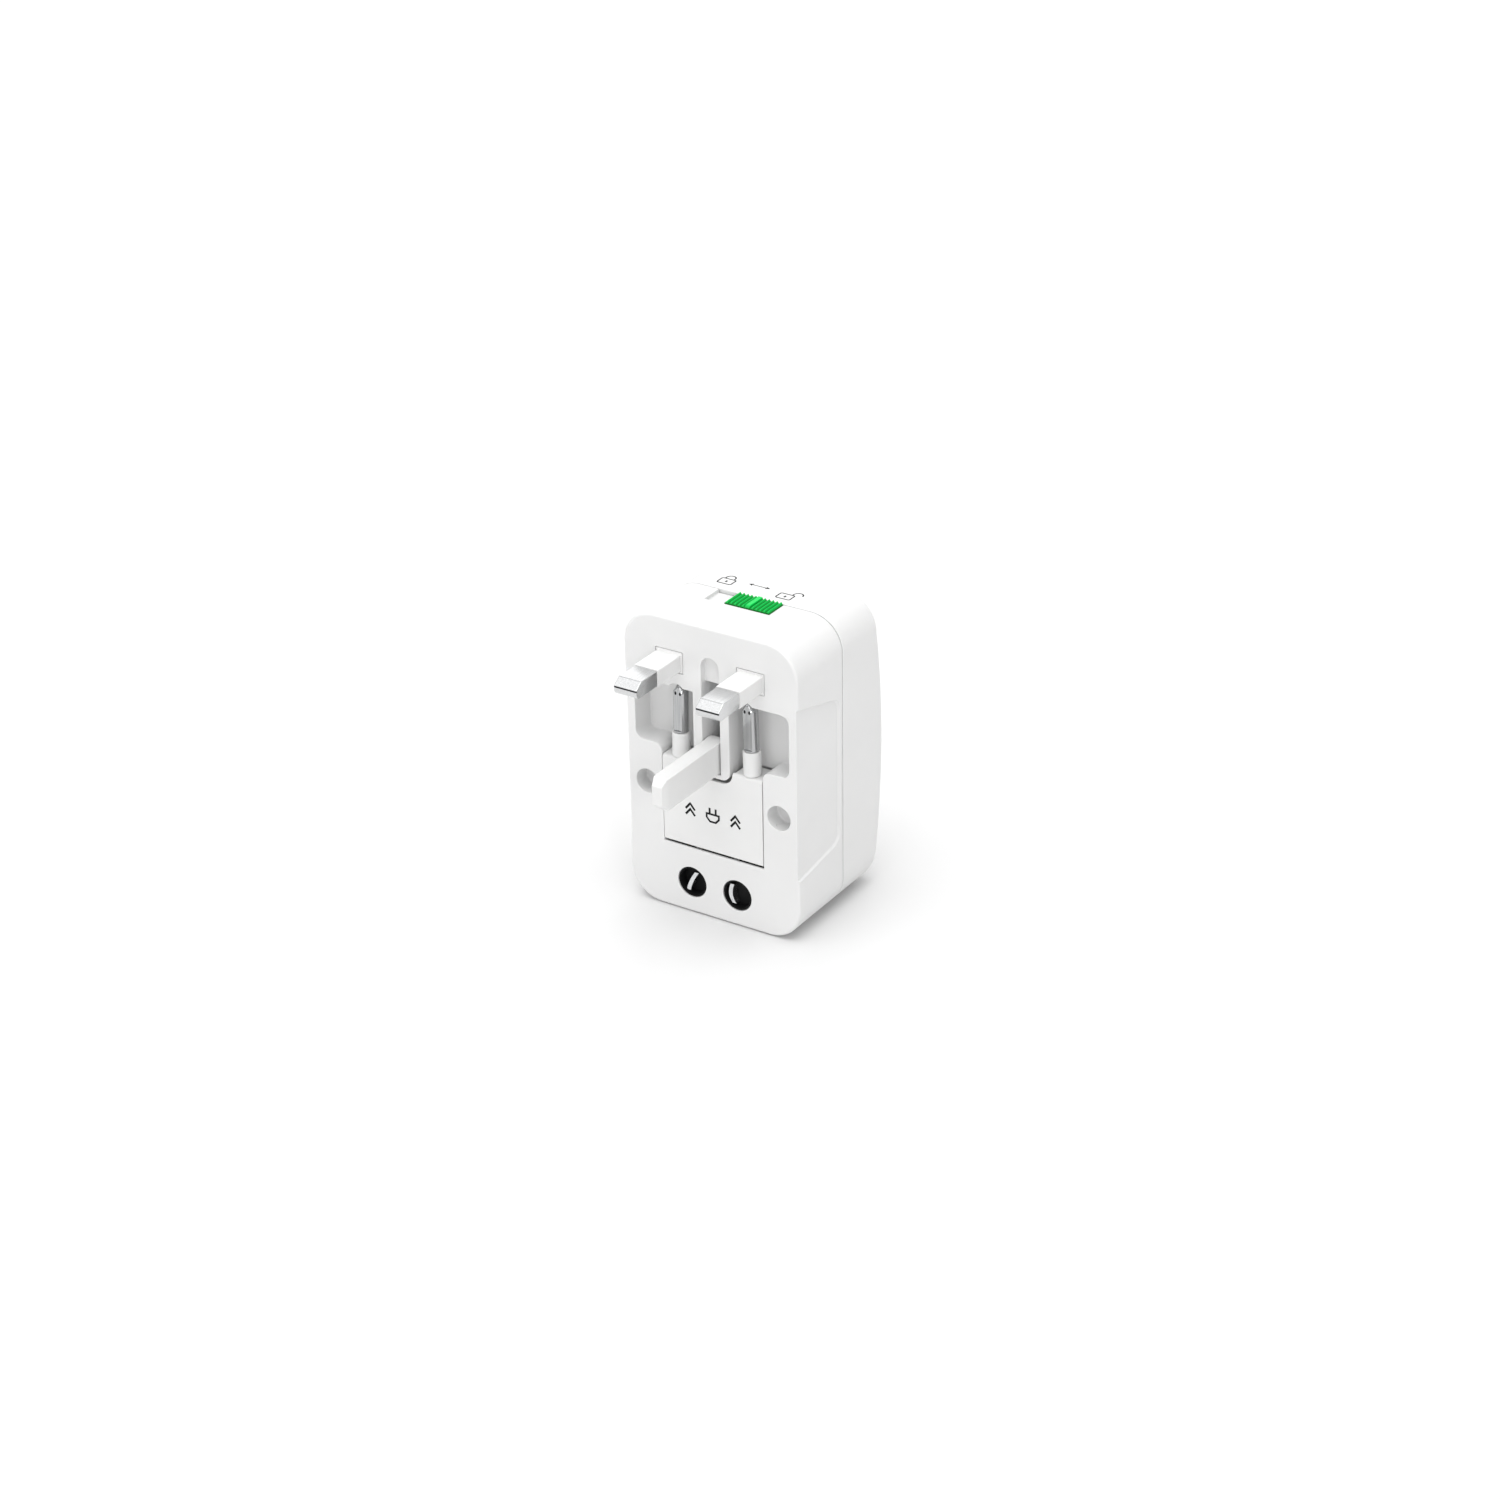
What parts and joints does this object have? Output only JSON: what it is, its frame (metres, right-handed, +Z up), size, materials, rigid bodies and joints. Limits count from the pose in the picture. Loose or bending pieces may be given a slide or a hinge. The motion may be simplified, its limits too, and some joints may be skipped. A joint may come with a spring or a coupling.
{
  "type": "universal travel adapter",
  "caption": "Boxy white travel adapter: British pins with a folding earth pin, fold-out European plug, green lock slider, and a detachable socket module with turning blades.",
  "frame": {"origin": "centre of the underside of the plug module", "axes": "+X across the plug face, +Y from the plug face towards the socket face, +Z up the long side"},
  "size_m": [0.0476, 0.0637, 0.0769],
  "materials": {
    "shell_white": "satin white polycarbonate",
    "pin_white": "satin white nylon",
    "inner_ivory": "matt off-white",
    "carrier_black": "matt black",
    "slider_green": "satin green",
    "nickel": "brushed nickel plate",
    "brass_strip": "bright strip",
    "steel": "zinc plate"
  },
  "bodies": {
    "plug_module": {"plug_shell": "shell_white", "plug_back_plate": "inner_ivory", "contact_carrier": "carrier_black", "flap_hinge_rod": "steel", "earth_axle": "steel", "earth_detent_leaf": "steel", "uk_sleeve_left": "pin_white", "uk_sleeve_right": "pin_white", "uk_blade_left": "nickel", "uk_blade_right": "nickel", "contact_clip_left": "nickel", "contact_clip_right": "nickel", "bus_bar_left": "brass_strip", "bus_bar_right": "brass_strip", "hinge_leaf_left": "brass_strip", "hinge_leaf_right": "brass_strip", "case_screw_left": "steel", "case_screw_right": "steel"},
    "earth_pin": {"earth_pin": "pin_white"},
    "euro_flap": {"euro_flap": "pin_white", "flap_cover": "pin_white", "euro_sleeve_left": "pin_white", "euro_sleeve_right": "pin_white", "euro_pin_left": "nickel", "euro_pin_right": "nickel"},
    "lock_slider": {"lock_slider": "slider_green", "lock_latch": "steel"},
    "socket_module": {"socket_shell": "shell_white", "socket_front_plate": "inner_ivory", "socket_contact_left": "brass_strip", "socket_contact_right": "brass_strip", "rotor_wiper_left": "brass_strip", "rotor_wiper_right": "brass_strip", "socket_screw_1": "steel", "socket_screw_2": "steel", "socket_screw_3": "steel", "socket_screw_4": "steel"},
    "us_blade_left": {"us_rotor_left": "inner_ivory", "us_blade_left": "nickel"},
    "us_blade_right": {"us_rotor_right": "inner_ivory", "us_blade_right": "nickel"}
  },
  "joints": [
    {"name": "flap_swing", "type": "hinge", "parent": "plug_module", "child": "euro_flap", "pos_m": [0, -0.00735, 0.0201], "axis": [1, 0, 0], "range_deg": [0, 90]},
    {"name": "earth_fold", "type": "hinge", "parent": "plug_module", "child": "earth_pin", "pos_m": [0, -0.00775, 0.04317], "axis": [-1, 0, 0], "range_deg": [0, 76]},
    {"name": "lock_travel", "type": "slide", "parent": "plug_module", "child": "lock_slider", "axis": [-1, 0, 0], "range_m": [0, 0.0052]},
    {"name": "module_pull", "type": "slide", "parent": "plug_module", "child": "socket_module", "axis": [0, 1, 0], "range_m": [0, 0.03]},
    {"name": "blade_left_turn", "type": "hinge", "parent": "socket_module", "child": "us_blade_left", "pos_m": [-0.00635, 0.01025, 0.008], "axis": [0, 1, 0], "range_deg": [0, 30]},
    {"name": "blade_right_turn", "type": "hinge", "parent": "socket_module", "child": "us_blade_right", "pos_m": [0.00635, 0.01025, 0.008], "axis": [0, -1, 0], "range_deg": [0, 30]}
  ]
}
